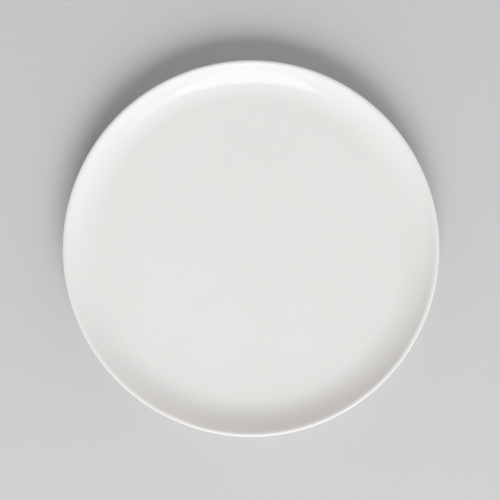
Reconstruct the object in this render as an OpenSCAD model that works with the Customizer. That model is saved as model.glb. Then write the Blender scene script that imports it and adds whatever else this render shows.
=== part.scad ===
// Coupe dinner plate: a fired porcelain body that stands on a bare foot ring, under two coats of glaze.
// Millimetres, +Z up. The origin is the middle of the plate on the surface that it stands on.
// Every piece is a section turned about Z: X in a section is the radius, and Y is the height.

/* [Plate] */
// Diameter over the lip, glaze included
plate_d = 270; // [200:1:330]
// Height from the table to the top of the lip, glaze included
plate_h = 21; // [16:0.5:30]
// Thickness of the floor, glaze included
floor_t = 5.2; // [3.8:0.1:7]
// Inside radius of the curve that carries the floor up to the lip
well_curve_r = 29; // [18:0.5:60]

/* [Lip] */
// Radius with which the wall rolls over to the top of the lip
lip_roll_r = 2.6; // [1.2:0.1:5]
// Radius of the outer edge of the lip
lip_edge_r = 1.4; // [0.8:0.1:2.2]

/* [Foot ring] */
// Distance from the end of the flat underside in to the foot ring
foot_inset = 16.5; // [5:0.5:40]
// Width of the foot ring
foot_w = 5; // [3:0.1:9]
// Height of the bare band at the bottom of the foot ring
foot_bare_h = 1.6; // [1:0.1:3]
// Radius of the glazed curve between the foot ring and the underside
foot_curve_r = 2.3; // [0.8:0.1:4]
// Radius of the bottom edges of the foot ring
foot_edge_r = 0.9; // [0.3:0.1:1.3]

/* [Glaze] */
// Thickness of both glaze coats
glaze_t = 0.3; // [0.1:0.05:0.5]

/* [Hidden] */

// Sides of a full turn, and straight steps in each kind of curve of a section
$fn = 180;
wall_steps = 18;
lip_steps = 5;
foot_steps = 6;

// Heights of the glazed underside and of the floor of the well
underside_z = foot_bare_h + foot_curve_r;
floor_z = underside_z + floor_t;

// The wall bends up about well_centre, and the lip rolls back about roll_centre to a flat top
crest_r = plate_d / 2 - lip_edge_r;
wall_angle = acos(1 - (plate_h - floor_z) / (well_curve_r + lip_roll_r));
floor_r = crest_r - (well_curve_r + lip_roll_r) * sin(wall_angle);
well_centre = [floor_r, floor_z + well_curve_r];
roll_centre = [crest_r, plate_h - lip_roll_r];
edge_centre = [crest_r, plate_h - lip_edge_r];

// The outside of the wall runs from the lip's edge to the flat underside about outer_centre
outer_curve_r = well_curve_r + floor_t;
outer_drop = underside_z + outer_curve_r - edge_centre[1];
outer_reach = sqrt(pow(outer_curve_r - lip_edge_r, 2) - pow(outer_drop, 2));
underside_r = crest_r - outer_reach;
outer_centre = [underside_r, underside_z + outer_curve_r];
outer_angle = atan2(outer_reach, outer_drop);

// The foot ring's sides, and the curves of clay and of glaze beside them
foot_outer_r = underside_r - foot_inset;
foot_inner_r = foot_outer_r - foot_w;
clay_curve_r = foot_curve_r + glaze_t;
outer_foot_centre = [foot_outer_r + clay_curve_r, foot_bare_h];
inner_foot_centre = [foot_inner_r - clay_curve_r, foot_bare_h];

// The bottom edges end below the glaze, and neither takes more than this share of the foot's width
edge_share = 0.4;
edge_r = min(foot_edge_r, foot_bare_h - glaze_t, edge_share * foot_w);

// Colours of the bare clay and of the glaze
clay_colour = "#ddd6ca";
glaze_colour = "#e8e7e5";

// Points along an arc between two angles, without the first one where skip is 1
function arc(centre, r, from, to, steps, skip = 0) = [
    for (i = [skip : steps])
        let (a = from + (to - from) * i / steps)
            centre + r * [cos(a), sin(a)]
];

// The same points from last to first
function reversed(points) = [for (i = [len(points) - 1 : -1 : 0]) points[i]];

// Path from the middle of the face, out along the floor, up the wall, over the lip and back under the wall
// to the end of the flat underside, at a depth of skin below the glazed faces. The lip's edge is in two
// stretches, so that its widest point is on the path.
function dish_path(skin) = concat(
    [[0, floor_z - skin]],
    arc(well_centre, well_curve_r + skin, -90, wall_angle - 90, wall_steps),
    arc(roll_centre, lip_roll_r - skin, wall_angle + 90, 90, lip_steps, 1),
    arc(edge_centre, lip_edge_r - skin, 90, 0, lip_steps, 1),
    arc(edge_centre, lip_edge_r - skin, 0, outer_angle - 90, lip_steps, 1),
    arc(outer_centre, outer_curve_r - skin, outer_angle - 90, -90, wall_steps, 1)
);

// Curves down the outer side of the foot ring and up its inner side, for clay or for glaze
function outer_foot_curve(r) = arc(outer_foot_centre, r, 90, 180, foot_steps);
function inner_foot_curve(r) = arc(inner_foot_centre, r, 0, 90, foot_steps);

// Beads that the glaze ends in above the bare band, down the outer side and down the inner side
outer_bead = arc([foot_outer_r, foot_bare_h], glaze_t, 0, -90, foot_steps, 1);
inner_bead = arc([foot_inner_r, foot_bare_h], glaze_t, 180, 270, foot_steps, 1);

// Bottom of the foot ring, from its outer side to its inner side
foot_bottom = concat(
    arc([foot_outer_r - edge_r, edge_r], edge_r, 0, -90, foot_steps),
    arc([foot_inner_r + edge_r, edge_r], edge_r, -90, -180, foot_steps)
);

// Fired clay: floor, wall, lip and foot ring in one piece
module porcelain_body() {
    color(clay_colour)
        rotate_extrude()
            polygon(concat(
                dish_path(glaze_t),
                outer_foot_curve(clay_curve_r),
                foot_bottom,
                inner_foot_curve(clay_curve_r),
                [[0, underside_z + glaze_t]]
            ));
}

// Glaze on the eating face, over the lip, down the outer wall and in to the foot ring
module face_glaze() {
    color(glaze_colour)
        rotate_extrude()
            polygon(concat(
                dish_path(0),
                outer_foot_curve(foot_curve_r),
                outer_bead,
                reversed(outer_foot_curve(clay_curve_r)),
                reversed(dish_path(glaze_t))
            ));
}

// Glaze in the recess inside the foot ring
module base_glaze() {
    color(glaze_colour)
        rotate_extrude()
            polygon(concat(
                [[0, underside_z]],
                reversed(inner_foot_curve(foot_curve_r)),
                inner_bead,
                inner_foot_curve(clay_curve_r),
                [[0, underside_z + glaze_t]]
            ));
}

porcelain_body();
face_glaze();
base_glaze();
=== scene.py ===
"""Coupe dinner plate, dressed: its glaze coats, bare foot ring, table, light and camera.

Lengths are in metres, in the frame of the solids: +Z up, the plate's axis on Z and its foot on z = 0.
Every piece is drawn as a half section, the way a potter cuts a template, and turned about Z.
"""

import logging
import math
from dataclasses import dataclass
from enum import Enum

import bmesh
import bpy
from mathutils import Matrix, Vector


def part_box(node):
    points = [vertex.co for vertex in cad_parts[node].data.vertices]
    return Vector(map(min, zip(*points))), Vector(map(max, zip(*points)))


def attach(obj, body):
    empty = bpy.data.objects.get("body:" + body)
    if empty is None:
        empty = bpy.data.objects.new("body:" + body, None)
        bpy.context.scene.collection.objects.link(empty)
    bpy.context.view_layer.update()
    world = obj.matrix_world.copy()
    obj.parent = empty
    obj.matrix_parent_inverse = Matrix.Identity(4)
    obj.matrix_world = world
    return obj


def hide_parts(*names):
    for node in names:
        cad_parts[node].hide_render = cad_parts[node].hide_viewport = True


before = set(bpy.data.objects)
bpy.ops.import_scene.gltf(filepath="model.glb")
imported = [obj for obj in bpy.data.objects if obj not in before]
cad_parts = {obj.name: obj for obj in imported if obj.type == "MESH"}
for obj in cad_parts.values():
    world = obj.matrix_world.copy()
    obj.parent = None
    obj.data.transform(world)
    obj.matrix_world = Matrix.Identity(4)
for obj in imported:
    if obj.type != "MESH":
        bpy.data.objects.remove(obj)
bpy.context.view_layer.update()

LOG = logging.getLogger("coupe_plate")
BODY = "root"
# Points of a mesh that lie closer than this are one point
MERGE_DISTANCE = 1e-6
# Sectors that a full turn is made of
SECTORS = 16
# Sockets of a Mix node that are for colours
MIX_FIRST = 6
MIX_SECOND = 7
MIX_RESULT = 2
# Curve of a curve mapping that acts on all three colours
COMBINED_CURVE = 3
# Height of the turning rings that show through the glaze of the base
BASE_RING_HEIGHT = 0.00002

Colour = tuple[float, float, float]
Point = tuple[float, float]
Socket = bpy.types.NodeSocket
Feed = Socket | float | Colour
Inputs = dict[str | int, Feed]


class Node(Enum):
    """Solids that the pieces of the scene stand for."""

    PORCELAIN = "porcelain_body"
    FACE_GLAZE = "face_glaze"
    BASE_GLAZE = "base_glaze"


class Slot(Enum):
    """Material slots of the record."""

    BARE = "bare_porcelain"
    GLAZE = "white_glaze"


class Facing(Enum):
    """Side of the foot ring that a glaze edge lies on, as the sign of its radius step."""

    OUTER = 1
    INNER = -1


@dataclass(frozen=True)
class PlateSizes:
    """Sizes of the plate, as its solids have them."""

    radius: float
    height: float
    underside: float
    foot_bare: float
    foot_inner: float
    floor_thickness: float = 0.0052
    well_curve: float = 0.029
    lip_roll: float = 0.0026
    lip_edge: float = 0.0014
    foot_width: float = 0.005
    foot_edge: float = 0.0009
    glaze: float = 0.0003

    @classmethod
    def from_frame(cls) -> "PlateSizes":
        """Take the sizes that the boxes of the two glaze coats give.

        Returns:
            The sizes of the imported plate.
        """
        face_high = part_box(Node.FACE_GLAZE.value)[1]
        base_low, base_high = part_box(Node.BASE_GLAZE.value)
        return cls(
            radius=face_high.x,
            height=face_high.z,
            underside=base_high.z - cls.glaze,
            foot_bare=base_low.z + cls.glaze,
            foot_inner=base_high.x,
        )

    @property
    def floor(self) -> float:
        """Height of the floor of the well."""
        return self.underside + self.floor_thickness

    @property
    def crest(self) -> float:
        """Radius of the top of the lip."""
        return self.radius - self.lip_edge

    @property
    def wall_degrees(self) -> float:
        """Angle that the inside of the wall bends up through."""
        rise = self.height - self.floor
        return math.degrees(math.acos(1 - rise / (self.well_curve + self.lip_roll)))

    @property
    def floor_radius(self) -> float:
        """Radius at which the floor starts to curve up."""
        bend = math.radians(self.wall_degrees)
        return self.crest - (self.well_curve + self.lip_roll) * math.sin(bend)

    @property
    def well_centre(self) -> Point:
        """Centre that the inside of the wall bends about."""
        return (self.floor_radius, self.floor + self.well_curve)

    @property
    def roll_centre(self) -> Point:
        """Centre that the wall rolls over to the top of the lip about."""
        return (self.crest, self.height - self.lip_roll)

    @property
    def edge_centre(self) -> Point:
        """Centre of the round outer edge of the lip."""
        return (self.crest, self.height - self.lip_edge)

    @property
    def outer_curve(self) -> float:
        """Radius of the outside of the wall."""
        return self.well_curve + self.floor_thickness

    @property
    def outer_degrees(self) -> float:
        """Angle that the outside of the wall bends up through."""
        drop = self.underside + self.outer_curve - self.edge_centre[1]
        return math.degrees(math.acos(drop / (self.outer_curve - self.lip_edge)))

    @property
    def outer_centre(self) -> Point:
        """Centre that the outside of the wall bends about, over the end of the flat underside."""
        reach = (self.outer_curve - self.lip_edge) * math.sin(math.radians(self.outer_degrees))
        return (self.crest - reach, self.underside + self.outer_curve)

    @property
    def foot_curve(self) -> float:
        """Radius of the glazed curve between the foot ring and the underside."""
        return self.underside - self.foot_bare

    @property
    def clay_curve(self) -> float:
        """Radius of the clay under that curve."""
        return self.foot_curve + self.glaze

    def foot_side(self, facing: Facing) -> float:
        """Radius of one side of the foot ring.

        Args:
            facing: Which side.

        Returns:
            The radius of that side's clay.
        """
        return self.foot_inner + (self.foot_width if facing is Facing.OUTER else 0.0)

    def foot_curve_centre(self, facing: Facing) -> Point:
        """Centre of the curve beside one side of the foot ring.

        Args:
            facing: Which side.

        Returns:
            The centre's radius and height.
        """
        return (self.foot_side(facing) + facing.value * self.clay_curve, self.foot_bare)


class Section:
    """Half section of a turned piece: a chain of edges in the XZ plane, drawn on from its tip."""

    def __init__(self, x: float, z: float) -> None:
        """Start the chain.

        Args:
            x: Radius of the first point.
            z: Height of the first point.
        """
        self.bm = bmesh.new()
        self.tip = self.bm.verts.new((x, 0.0, z))

    def line_to(self, x: float, z: float, steps: int = 1) -> None:
        """Draw a straight stretch.

        Args:
            x: Radius of its end.
            z: Height of its end.
            steps: Edges that it is divided into.
        """
        stride = (Vector((x, 0.0, z)) - self.tip.co) / steps
        for _ in range(steps):
            made = bmesh.ops.extrude_vert_indiv(self.bm, verts=[self.tip])
            self.tip = made["verts"][0]
            bmesh.ops.translate(self.bm, verts=[self.tip], vec=stride)

    def swing(self, centre: Point, degrees: float, steps: int) -> None:
        """Draw a round stretch.

        Args:
            centre: Centre that the tip swings about.
            degrees: Angle of the swing, positive from +X towards +Z.
            steps: Edges that it is divided into.
        """
        made = bmesh.ops.spin(
            self.bm,
            geom=[self.tip],
            cent=(centre[0], 0.0, centre[1]),
            axis=(0.0, -1.0, 0.0),
            angle=math.radians(degrees),
            steps=steps,
            use_duplicate=False,
        )
        self.tip = next(part for part in made["geom_last"] if isinstance(part, bmesh.types.BMVert))

    def turned(self, sides: int) -> bmesh.types.BMesh:
        """Turn the section about Z into a closed shell, one sector first and then its copies.

        Args:
            sides: Sides of the full turn, a multiple of SECTORS.

        Returns:
            The shell, with its faces outwards.
        """
        about = {"cent": (0.0, 0.0, 0.0), "axis": (0.0, 0.0, 1.0)}
        sector = math.tau / SECTORS
        outline = self.bm.verts[:] + self.bm.edges[:]
        bmesh.ops.spin(self.bm, geom=outline, angle=sector, steps=sides // SECTORS, **about)
        wedge = self.bm.verts[:] + self.bm.edges[:] + self.bm.faces[:]
        copies = SECTORS - 1
        rest = sector * copies
        bmesh.ops.spin(self.bm, geom=wedge, angle=rest, steps=copies, use_duplicate=True, **about)
        bmesh.ops.remove_doubles(self.bm, verts=self.bm.verts[:], dist=MERGE_DISTANCE)
        bmesh.ops.recalc_face_normals(self.bm, faces=self.bm.faces[:])
        return self.bm


class NodeBoard:
    """Lays out shader nodes in one node tree."""

    def __init__(self, tree: bpy.types.NodeTree) -> None:
        """Take the tree to lay nodes out in.

        Args:
            tree: Node tree of a material, a world or a group.
        """
        self.tree = tree

    def feed(self, socket: Socket, value: Feed) -> None:
        """Join a socket to an input, or set the input's own value.

        Args:
            socket: The input.
            value: A socket, a number or a colour.
        """
        if isinstance(value, Socket):
            self.tree.links.new(value, socket)
        elif socket.type == "RGBA":
            socket.default_value = (*value, 1.0)
        else:
            socket.default_value = value

    def add(self, kind: str, inputs: Inputs | None = None, **settings: object) -> bpy.types.Node:
        """Add a node.

        Args:
            kind: The node's type.
            inputs: What its inputs get, by name or number.
            settings: Properties of the node.

        Returns:
            The new node.
        """
        node = self.tree.nodes.new(kind)
        for name, value in settings.items():
            setattr(node, name, value)
        for key, value in (inputs or {}).items():
            self.feed(node.inputs[key], value)
        return node

    def place(self) -> Socket:
        """Give the place on the piece, in Object coordinates."""
        return self.add("ShaderNodeTexCoord").outputs["Object"]

    def axes(self, vector: Socket) -> bpy.types.bpy_prop_collection:
        """Split a vector into the sockets of its X, Y and Z."""
        return self.add("ShaderNodeSeparateXYZ", {"Vector": vector}).outputs

    def math(self, operation: str, *values: Feed) -> Socket:
        """Add a Math node.

        Args:
            operation: What it does.
            values: Its numbers or sockets, in order.

        Returns:
            Its result.
        """
        return self.add("ShaderNodeMath", dict(enumerate(values)), operation=operation).outputs[0]

    def spread(self, value: Feed, low: float, high: float, to_low: Feed, to_high: Feed) -> Socket:
        """Add a clamped, smooth Map Range node.

        Args:
            value: What is mapped.
            low: Value that becomes to_low.
            high: Value that becomes to_high.
            to_low: Result at low.
            to_high: Result at high.

        Returns:
            Its result.
        """
        numbers = {0: value, 1: low, 2: high, 3: to_low, 4: to_high}
        return self.add("ShaderNodeMapRange", numbers, interpolation_type="SMOOTHSTEP").outputs[0]

    def blend(self, share: Feed, first: Feed, second: Feed) -> Socket:
        """Mix two colours.

        Args:
            share: Share of the second colour.
            first: Colour at share 0.
            second: Colour at share 1.

        Returns:
            The mixed colour.
        """
        inputs = {"Factor": share, MIX_FIRST: first, MIX_SECOND: second}
        return self.add("ShaderNodeMix", inputs, data_type="RGBA").outputs[MIX_RESULT]

    def effect(self, group: bpy.types.NodeTree, **values: float) -> Socket:
        """Place a shared effect.

        Args:
            group: The effect's node group.
            values: Its values here, by input name.

        Returns:
            The effect's output.
        """
        return self.add("ShaderNodeGroup", values, node_tree=group).outputs[0]


class EffectBoard(NodeBoard):
    """Board of a new node group that has number inputs and one number output."""

    def __init__(self, name: str, output: str, **inputs: float) -> None:
        """Start the group.

        Args:
            name: The group's name.
            output: Name of its output.
            inputs: Names of its inputs, with their usual values.
        """
        super().__init__(bpy.data.node_groups.new(name, "ShaderNodeTree"))
        sockets = self.tree.interface
        for label, value in inputs.items():
            socket = sockets.new_socket(label, in_out="INPUT", socket_type="NodeSocketFloat")
            socket.default_value = value
        sockets.new_socket(output, in_out="OUTPUT", socket_type="NodeSocketFloat")
        self.given = self.add("NodeGroupInput").outputs
        self.result = self.add("NodeGroupOutput").inputs[0]

    def finish(self, value: Socket) -> bpy.types.NodeTree:
        """Join the effect's value to the output, and give the group."""
        self.feed(self.result, value)
        return self.tree


class SharedEffects:
    """Node groups that more than one finish uses, each built once."""

    MOTTLE_DETAIL = 4.0
    MOTTLE_ROUGHNESS = 0.55
    MOTTLE_LOW = 0.32
    MOTTLE_HIGH = 0.68
    SPECK_LEAST = 0.4
    SPECK_CORE = 0.5
    RING_DETAIL = 3.0
    RIPPLE_DETAIL = 1.0

    def __init__(self) -> None:
        """Build the groups."""
        self.mottle = self.build_mottle()
        self.specks = self.build_specks()
        self.rings = self.build_rings()
        self.ripple = self.build_ripple()

    def build_mottle(self) -> bpy.types.NodeTree:
        """Build the cloudy unevenness that firing leaves in clay and glaze.

        Returns:
            The node group.
        """
        board = EffectBoard("fired_mottle", "Mottle", Scale=30.0)
        inputs = {"Vector": board.place(), "Scale": board.given["Scale"]}
        inputs |= {"Detail": self.MOTTLE_DETAIL, "Roughness": self.MOTTLE_ROUGHNESS}
        noise = board.add("ShaderNodeTexNoise", inputs)
        return board.finish(board.spread(noise.outputs[0], self.MOTTLE_LOW, self.MOTTLE_HIGH, 0.0, 1.0))

    def build_specks(self) -> bpy.types.NodeTree:
        """Build sparse round specks: iron in the clay, pinholes in the glaze.

        Returns:
            The node group.
        """
        board = EffectBoard("kiln_specks", "Speck", Scale=60.0, Size=0.02, Share=0.05)
        inputs = {"Vector": board.place(), "Scale": board.given["Scale"]}
        cells = board.add("ShaderNodeTexVoronoi", inputs)
        lot = board.add("ShaderNodeSeparateColor", {"Color": cells.outputs["Color"]}).outputs
        chosen = board.math("LESS_THAN", lot[0], board.given["Share"])
        girth = board.math("MULTIPLY", board.given["Size"], board.math("ADD", lot[1], self.SPECK_LEAST))
        nearness = board.math("DIVIDE", cells.outputs["Distance"], girth)
        blot = board.spread(nearness, self.SPECK_CORE, 1.0, 1.0, 0.0)
        return board.finish(board.math("MULTIPLY", blot, chosen))

    def build_rings(self) -> bpy.types.NodeTree:
        """Build the fine rings that the turning tool leaves round the plate's axis.

        Returns:
            The node group.
        """
        board = EffectBoard("turning_rings", "Ring", Scale=900.0)
        axes = board.axes(board.place())
        flat = board.add("ShaderNodeCombineXYZ", {"X": axes[0], "Y": axes[1]}).outputs[0]
        radius = board.add("ShaderNodeVectorMath", {0: flat}, operation="LENGTH").outputs["Value"]
        inputs = {"W": radius, "Scale": board.given["Scale"], "Detail": self.RING_DETAIL}
        return board.finish(board.add("ShaderNodeTexNoise", inputs, noise_dimensions="1D").outputs[0])

    def build_ripple(self) -> bpy.types.NodeTree:
        """Build the height of molten glaze: long lazy waves under a finer skin.

        Returns:
            The node group.
        """
        board = EffectBoard("glaze_ripple", "Height", Long=24.0, Fine=260.0, Share=0.06)
        layers = []
        for label in ("Long", "Fine"):
            inputs = {"Vector": board.place(), "Scale": board.given[label]}
            inputs["Detail"] = self.RIPPLE_DETAIL
            layers.append(board.add("ShaderNodeTexNoise", inputs).outputs[0])
        fine = board.math("MULTIPLY", layers[1], board.given["Share"])
        return board.finish(board.math("ADD", layers[0], fine))


class MaterialBoard(NodeBoard):
    """Board of a new material that has one Principled shader."""

    def __init__(self, name: str) -> None:
        """Start the material.

        Args:
            name: The material's name.
        """
        self.material = bpy.data.materials.new(name)
        self.material.use_nodes = True
        super().__init__(self.material.node_tree)
        self.tree.nodes.clear()
        self.shader = self.add("ShaderNodeBsdfPrincipled")
        self.add("ShaderNodeOutputMaterial", {"Surface": self.shader.outputs[0]})

    def set(self, label: str, value: Feed) -> None:
        """Set or join one of the shader's inputs."""
        self.feed(self.shader.inputs[label], value)

    def emboss(self, *layers: tuple[Socket, float]) -> None:
        """Raise the surface by a sum of layers.

        Args:
            layers: Each layer's value and its full height.
        """
        heights = [self.math("MULTIPLY", value, height) for value, height in layers]
        total = heights[0]
        for height in heights[1:]:
            total = self.math("ADD", total, height)
        bump = self.add("ShaderNodeBump", {"Height": total, "Distance": 1.0, "Strength": 1.0})
        self.set("Normal", bump.outputs[0])


@dataclass(frozen=True)
class GlazeFinish:
    """Glossy warm white glaze with the small faults of a fired coat."""

    name: str
    colour: Colour = (0.890, 0.876, 0.846)
    shade: Colour = (0.880, 0.865, 0.833)
    thin: Colour = (0.870, 0.850, 0.812)
    speck: Colour = (0.34, 0.29, 0.23)
    ior: float = 1.48
    roughness: float = 0.055
    roughness_worn: float = 0.09
    ripple_height: float = 0.00003
    ring_height: float = 0.0
    mottle_scale: float = 22.0
    haze_scale: float = 75.0
    speck_share: float = 0.02
    thin_band: float = 0.0012
    thin_share: float = 0.5

    def make(self, sizes: PlateSizes, effects: SharedEffects) -> bpy.types.Material:
        """Build the material.

        Args:
            sizes: Sizes of the plate, for where the coat runs thin.
            effects: The shared node groups.

        Returns:
            The material.
        """
        board = MaterialBoard(self.name)
        height = board.axes(board.place())[2]
        crest = board.spread(height, sizes.height - self.thin_band, sizes.height, 0.0, self.thin_share)
        mottle = board.effect(effects.mottle, Scale=self.mottle_scale)
        tone = board.blend(mottle, self.colour, self.shade)
        tone = board.blend(crest, tone, self.thin)
        tone = board.blend(board.effect(effects.specks, Share=self.speck_share), tone, self.speck)
        haze = board.effect(effects.mottle, Scale=self.haze_scale)
        board.set("Base Color", tone)
        board.set("Roughness", board.spread(haze, 0.0, 1.0, self.roughness, self.roughness_worn))
        board.set("IOR", self.ior)
        layers = [(board.effect(effects.ripple), self.ripple_height)]
        if self.ring_height:
            layers.append((board.effect(effects.rings), self.ring_height))
        board.emboss(*layers)
        return board.material


@dataclass(frozen=True)
class BareClayFinish:
    """Fired clay without glaze: matt, sandy and scuffed where the plate stands."""

    name: str = "bare_fired_porcelain"
    colour: Colour = (0.66, 0.61, 0.53)
    shade: Colour = (0.56, 0.505, 0.425)
    scuff: Colour = (0.36, 0.34, 0.32)
    roughness: float = 0.78
    grain_height: float = 0.00006
    ring_height: float = 0.00005
    cloud_scale: float = 60.0
    grain_scale: float = 1800.0
    ring_scale: float = 1400.0
    speck_scale: float = 260.0
    speck_share: float = 0.12
    speck_size: float = 0.06
    scuffed_part: float = 1 / 3
    scuff_low: float = 0.35
    scuff_high: float = 0.9
    scuff_most: float = 0.45

    def make(self, sizes: PlateSizes, effects: SharedEffects) -> bpy.types.Material:
        """Build the material.

        Args:
            sizes: Sizes of the plate, for where it stands.
            effects: The shared node groups.

        Returns:
            The material.
        """
        board = MaterialBoard(self.name)
        cloud = board.effect(effects.mottle, Scale=self.cloud_scale)
        grain = board.effect(effects.mottle, Scale=self.grain_scale)
        rings = board.effect(effects.rings, Scale=self.ring_scale)
        speckle = {"Scale": self.speck_scale, "Share": self.speck_share, "Size": self.speck_size}
        tone = board.blend(cloud, self.colour, self.shade)
        tone = board.blend(board.effect(effects.specks, **speckle), tone, self.scuff)
        height = board.axes(board.place())[2]
        standing = board.spread(height, 0.0, sizes.foot_edge * self.scuffed_part, 1.0, 0.0)
        patches = board.spread(cloud, self.scuff_low, self.scuff_high, 0.0, self.scuff_most)
        worn = board.math("MULTIPLY", standing, patches)
        board.set("Base Color", board.blend(worn, tone, self.scuff))
        board.set("Roughness", self.roughness)
        board.emboss((grain, self.grain_height), (rings, self.ring_height))
        return board.material


@dataclass
class TurnedPiece:
    """A piece that is drawn as a half section and turned about the plate's axis."""

    sizes: PlateSizes
    material: bpy.types.Material
    name: str = ""
    node: Node = Node.PORCELAIN
    slot: Slot = Slot.BARE
    sides: int = 320

    def draw(self) -> Section:
        """Draw the half section."""
        raise NotImplementedError

    def shape(self, bm: bmesh.types.BMesh) -> None:
        """Work the points of the turned shell one by one; a plain piece needs none."""

    def build(self) -> bpy.types.Object:
        """Turn the piece, dress it and set it on the plate.

        Returns:
            The finished object.
        """
        bm = self.draw().turned(self.sides)
        self.shape(bm)
        mesh = bpy.data.meshes.new(self.name)
        bm.to_mesh(mesh)
        bm.free()
        mesh.shade_smooth()
        mesh.materials.append(self.material)
        piece = bpy.data.objects.new(self.name, mesh)
        bpy.context.scene.collection.objects.link(piece)
        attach(piece, BODY)
        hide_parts(self.node.value)
        LOG.info("%s stands for %s, with %d faces", self.name, self.node.value, len(mesh.polygons))
        return piece


@dataclass
class PorcelainBody(TurnedPiece):
    """Fired clay: floor, wall, lip and foot ring in one piece."""

    name: str = "fired_body"
    sides: int = 256

    def draw(self) -> Section:
        """Draw floor, wall, lip, underside and foot ring.

        Returns:
            The half section.
        """
        s = self.sizes
        skin = s.glaze
        outer = s.foot_side(Facing.OUTER)
        inner = s.foot_side(Facing.INNER)
        section = Section(0.0, s.floor - skin)
        section.line_to(s.floor_radius, s.floor - skin, steps=6)
        section.swing(s.well_centre, s.wall_degrees, steps=20)
        section.swing(s.roll_centre, -s.wall_degrees, steps=6)
        section.swing(s.edge_centre, s.outer_degrees - 180.0, steps=8)
        section.swing(s.outer_centre, -s.outer_degrees, steps=20)
        section.line_to(outer + s.clay_curve, s.underside + skin, steps=3)
        section.swing(s.foot_curve_centre(Facing.OUTER), 90.0, steps=8)
        section.line_to(outer, s.foot_edge, steps=3)
        section.swing((outer - s.foot_edge, s.foot_edge), -90.0, steps=6)
        section.line_to(inner + s.foot_edge, 0.0, steps=4)
        section.swing((inner + s.foot_edge, s.foot_edge), -90.0, steps=6)
        section.line_to(inner, s.foot_bare, steps=3)
        section.swing(s.foot_curve_centre(Facing.INNER), 90.0, steps=8)
        section.line_to(0.0, s.underside + skin, steps=6)
        return section


@dataclass
class GlazeCoat(TurnedPiece):
    """Coat of glaze that ends in an uneven bead above the bare foot."""

    slot: Slot = Slot.GLAZE
    deepest_run: float = 0.00034
    waves: tuple[Point, ...] = ((5, 0.4), (13, 1.9), (31, 4.0))

    def run(self, turn: float) -> float:
        """How far the glaze has run down the foot.

        Args:
            turn: Place round the plate, in radians.

        Returns:
            A length from 0 to deepest_run.
        """
        swell = sum(math.sin(count * turn + phase) for count, phase in self.waves) / len(self.waves)
        return self.deepest_run * (1 + swell) / 2

    def shape(self, bm: bmesh.types.BMesh) -> None:
        """Draw the bead down by as much as the glaze has run.

        Args:
            bm: The turned coat.
        """
        line = self.sizes.foot_bare
        for vert in bm.verts:
            depth = line - vert.co.z
            if depth > MERGE_DISTANCE:
                vert.co.z -= depth / self.sizes.glaze * self.run(math.atan2(vert.co.y, vert.co.x))


@dataclass
class FaceGlaze(GlazeCoat):
    """Glaze on the eating face, over the lip, down the outer wall and in to the foot ring."""

    name: str = "face_coat"
    node: Node = Node.FACE_GLAZE

    def draw(self) -> Section:
        """Draw the glossy side from the middle of the face to the foot, and the clay side back.

        Returns:
            The half section.
        """
        s = self.sizes
        side = s.foot_side(Facing.OUTER)
        centre = s.foot_curve_centre(Facing.OUTER)
        section = Section(0.0, s.floor)
        section.line_to(s.floor_radius, s.floor, steps=36)
        section.swing(s.well_centre, s.wall_degrees, steps=44)
        section.swing(s.roll_centre, -s.wall_degrees, steps=14)
        section.swing(s.edge_centre, s.outer_degrees - 180.0, steps=16)
        section.swing(s.outer_centre, -s.outer_degrees, steps=28)
        section.line_to(centre[0], s.underside, steps=4)
        section.swing(centre, 90.0, steps=8)
        section.swing((side, s.foot_bare), -90.0, steps=5)
        section.line_to(side, s.foot_bare)
        section.swing(centre, -90.0, steps=8)
        section.line_to(s.outer_centre[0], s.underside + s.glaze, steps=2)
        section.swing(s.outer_centre, s.outer_degrees, steps=16)
        section.swing(s.edge_centre, 180.0 - s.outer_degrees, steps=8)
        section.swing(s.roll_centre, s.wall_degrees, steps=6)
        section.swing(s.well_centre, -s.wall_degrees, steps=16)
        section.line_to(0.0, s.floor - s.glaze, steps=4)
        return section


@dataclass
class BaseGlaze(GlazeCoat):
    """Glaze in the recess inside the foot ring."""

    name: str = "base_coat"
    node: Node = Node.BASE_GLAZE
    waves: tuple[Point, ...] = ((4, 2.2), (11, 0.7), (27, 5.1))

    def draw(self) -> Section:
        """Draw the glossy side from the middle of the recess to the foot, and the clay side back.

        Returns:
            The half section.
        """
        s = self.sizes
        side = s.foot_side(Facing.INNER)
        centre = s.foot_curve_centre(Facing.INNER)
        section = Section(0.0, s.underside)
        section.line_to(centre[0], s.underside, steps=24)
        section.swing(centre, -90.0, steps=8)
        section.swing((side, s.foot_bare), 90.0, steps=5)
        section.line_to(side, s.foot_bare)
        section.swing(centre, 90.0, steps=8)
        section.line_to(0.0, s.underside + s.glaze, steps=4)
        return section


@dataclass(frozen=True)
class Table:
    """Pale surface that the plate stands on."""

    side: float = 4.0
    colour: Colour = (0.586, 0.588, 0.590)
    shade: Colour = (0.577, 0.579, 0.581)
    roughness: float = 0.7
    grain_scale: float = 400.0

    def make(self, effects: SharedEffects) -> bpy.types.Material:
        """Build the surface's material.

        Args:
            effects: The shared node groups.

        Returns:
            The material.
        """
        board = MaterialBoard("pale_table")
        grain = board.effect(effects.mottle, Scale=self.grain_scale)
        board.set("Base Color", board.blend(grain, self.colour, self.shade))
        board.set("Roughness", self.roughness)
        return board.material

    def build(self, effects: SharedEffects) -> bpy.types.Object:
        """Lay the surface under the plate.

        Args:
            effects: The shared node groups.

        Returns:
            The stage object.
        """
        bm = bmesh.new()
        bmesh.ops.create_grid(bm, x_segments=1, y_segments=1, size=self.side / 2)
        mesh = bpy.data.meshes.new("table")
        bm.to_mesh(mesh)
        bm.free()
        mesh.materials.append(self.make(effects))
        table = bpy.data.objects.new("table", mesh)
        bpy.context.scene.collection.objects.link(table)
        LOG.info("table, %.1f m across", self.side)
        return table


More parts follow.
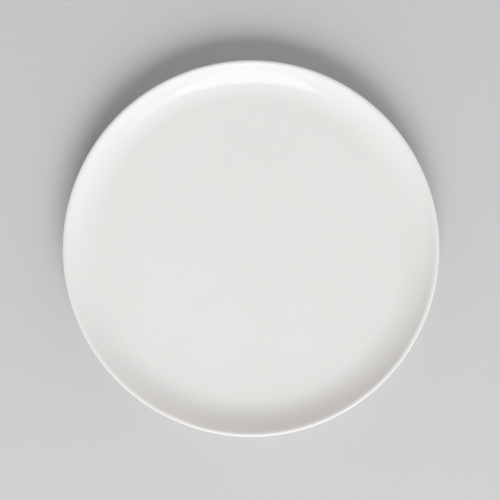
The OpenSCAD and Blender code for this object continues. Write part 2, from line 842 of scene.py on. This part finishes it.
@dataclass(frozen=True)
class SoftLight:
    """Large oval light that faces the plate and fades out towards its edge."""

    name: str
    azimuth: float
    elevation: float
    half_width: float
    half_height: float
    radiance: float
    core: float = 0.4
    distance: float = 3.0

    def span(self, half_angle: float) -> float:
        """Length that reaches half_angle degrees to both sides, as seen from the plate."""
        return 2 * self.distance * math.tan(math.radians(half_angle))

    @property
    def power(self) -> float:
        """Power that gives the middle of the light its radiance."""
        area = math.pi / 4 * self.span(self.half_width) * self.span(self.half_height)
        return math.pi * self.radiance * area

    def fade(self, lamp: bpy.types.AreaLight) -> None:
        """Fade the light out from its core to its edge.

        Args:
            lamp: The light's data.
        """
        lamp.use_nodes = True
        lamp.node_tree.nodes.clear()
        board = NodeBoard(lamp.node_tree)
        spot = board.add("ShaderNodeNewGeometry").outputs["Parametric"]
        across, along = (board.math("MULTIPLY_ADD", part, 2.0, -1.0) for part in board.axes(spot)[:2])
        square = board.math("MULTIPLY_ADD", across, across, board.math("POWER", along, 2.0))
        reach = board.math("SQRT", square)
        strength = board.spread(reach, self.core, 1.0, 1.0, 0.0)
        glow = board.add("ShaderNodeEmission", {"Strength": strength})
        board.add("ShaderNodeOutputLight", {"Surface": glow.outputs[0]})

    def build(self) -> bpy.types.Object:
        """Hang the light.

        Returns:
            The light object.
        """
        turn = math.radians(self.azimuth)
        lift = math.radians(self.elevation)
        level = math.cos(lift)
        away = Vector((math.cos(turn) * level, math.sin(turn) * level, math.sin(lift)))
        lamp = bpy.data.lights.new(self.name, "AREA")
        lamp.shape = "ELLIPSE"
        lamp.size = self.span(self.half_width)
        lamp.size_y = self.span(self.half_height)
        lamp.energy = self.power
        self.fade(lamp)
        light = bpy.data.objects.new(self.name, lamp)
        light.location = away * self.distance
        light.rotation_mode = "QUATERNION"
        light.rotation_quaternion = (-away).to_track_quat("-Z", "Y")
        bpy.context.scene.collection.objects.link(light)
        LOG.info("light %s, %.0f W", self.name, self.power)
        return light


@dataclass(frozen=True)
class PaleRoom:
    """Room round the table: a band along the horizon, lit flanks and far wall, and a dimmer ceiling."""

    band: float = 0.3
    band_right: float = 1.8
    band_far: float = 1.08
    band_near: float = 2.8
    flank: float = 1.83
    flank_top: float = 0.48
    far_wall: float = 0.92
    near_tint: Colour = (1.0, 1.0, 1.0)
    far_tint: Colour = (1.0, 0.95, 0.97)
    band_top: float = 10.0
    band_end: float = 26.0

    def build(self) -> bpy.types.World:
        """Paint the room.

        Returns:
            The world.
        """
        world = bpy.data.worlds.new("pale_room")
        world.use_nodes = True
        world.node_tree.nodes.clear()
        board = NodeBoard(world.node_tree)
        x, y, z = board.axes(board.add("ShaderNodeTexCoord").outputs["Generated"])
        right, far = (board.math("MAXIMUM", way, 0.0) for way in (x, y))
        near = board.math("SUBTRACT", far, y)
        band = board.math("MULTIPLY_ADD", right, self.band_right, self.band)
        band = board.math("MULTIPLY_ADD", far, self.band_far, band)
        band = board.math("MULTIPLY_ADD", near, self.band_near, band)
        low, high = (math.sin(math.radians(angle)) for angle in (self.band_top, self.band_end))
        level = board.math("SUBTRACT", 1.0, board.math("POWER", z, 2.0))
        sideways = board.math("DIVIDE", board.math("POWER", x, 2.0), level)
        wall = board.math("MULTIPLY", sideways, board.spread(z, high, 1.0, self.flank, self.flank_top))
        wall = board.math("MULTIPLY_ADD", far, self.far_wall, wall)
        strength = board.spread(z, low, high, band, wall)
        tint = board.blend(far, self.near_tint, self.far_tint)
        backdrop = board.add("ShaderNodeBackground", {"Color": tint, "Strength": strength})
        board.add("ShaderNodeOutputWorld", {"Surface": backdrop.outputs[0]})
        return world


@dataclass(frozen=True)
class ToneCurve:
    """Tone curve of a photographic print: a toe in the shadows and a shoulder below white."""

    toe: float = 1.6
    shoulder: float = 0.8
    white: float = 2.73
    steps: int = 8
    crowding: float = 1.5

    def level(self, light: float) -> float:
        """Level, from 0 to 1, at which a light value is shown."""
        lifted = light ** self.toe
        return lifted / (1 + self.shoulder * lifted)

    def apply(self, view: bpy.types.ColorManagedViewSettings) -> None:
        """Set the curve in a scene's view settings.

        Args:
            view: The view settings.
        """
        view.view_transform = "Standard"
        view.use_curve_mapping = True
        mapping = view.curve_mapping
        mapping.clip_max_x = self.white
        curve = mapping.curves[COMBINED_CURVE]
        curve.points[1].location = (self.white, 1.0)
        for step in range(1, self.steps):
            light = self.white * (step / self.steps) ** self.crowding
            curve.points.new(light, self.level(light))
        mapping.update()


@dataclass(frozen=True)
class Studio:
    """Light on the plate: a key from the near side with its spill, and the room."""

    lights: tuple[SoftLight, ...] = (
        SoftLight("key_light", -90.0, 40.5, 21.0, 15.0, 5.85, core=0.92),
        SoftLight("key_glow", -87.5, 33.0, 20.5, 22.5, 7.65, core=0.92),
        SoftLight("right_glow", -58.0, 38.0, 14.0, 15.0, 6.3, core=0.5),
    )
    room: PaleRoom = PaleRoom()
    tone: ToneCurve = ToneCurve()

    def build(self) -> None:
        """Hang the lights, paint the room and set the tone curve."""
        for light in self.lights:
            light.build()
        scene = bpy.context.scene
        scene.world = self.room.build()
        self.tone.apply(scene.view_settings)


@dataclass(frozen=True)
class OverheadCamera:
    """Camera straight above the plate, framed as the photograph is."""

    above: float = 1.1
    sensor: float = 36.0
    frame_px: float = 500.0
    plate_centre_px: Point = (251.0, 248.5)
    plate_radius_px: float = 188.3

    def build(self, sizes: PlateSizes) -> bpy.types.Object:
        """Hang the camera and make it the scene's own.

        Args:
            sizes: Sizes of the plate, which set the scale of the frame.

        Returns:
            The camera object.
        """
        metres_per_px = sizes.radius / self.plate_radius_px
        lens_to_lip = self.above - sizes.edge_centre[1]
        data = bpy.data.cameras.new("overhead")
        data.sensor_width = self.sensor
        data.lens = self.sensor * lens_to_lip / (self.frame_px * metres_per_px)
        camera = bpy.data.objects.new("overhead", data)
        middle = self.frame_px / 2
        across = (middle - self.plate_centre_px[0]) * metres_per_px
        along = (self.plate_centre_px[1] - middle) * metres_per_px
        camera.location = (across, along, self.above)
        bpy.context.scene.collection.objects.link(camera)
        bpy.context.scene.camera = camera
        LOG.info("camera %.2f m above the table, %.0f mm lens", self.above, data.lens)
        return camera


def main() -> None:
    """Build the plate, its table, its light and its camera, in that order."""
    logging.basicConfig(level=logging.INFO, format="%(name)s: %(message)s")
    sizes = PlateSizes.from_frame()
    effects = SharedEffects()
    face_finish = GlazeFinish("white_face_glaze")
    base_finish = GlazeFinish("white_base_glaze", ring_height=BASE_RING_HEIGHT)
    PorcelainBody(sizes, BareClayFinish().make(sizes, effects)).build()
    FaceGlaze(sizes, face_finish.make(sizes, effects)).build()
    BaseGlaze(sizes, base_finish.make(sizes, effects)).build()
    Table().build(effects)
    Studio().build()
    OverheadCamera().build(sizes)


if __name__ == "__main__":
    main()
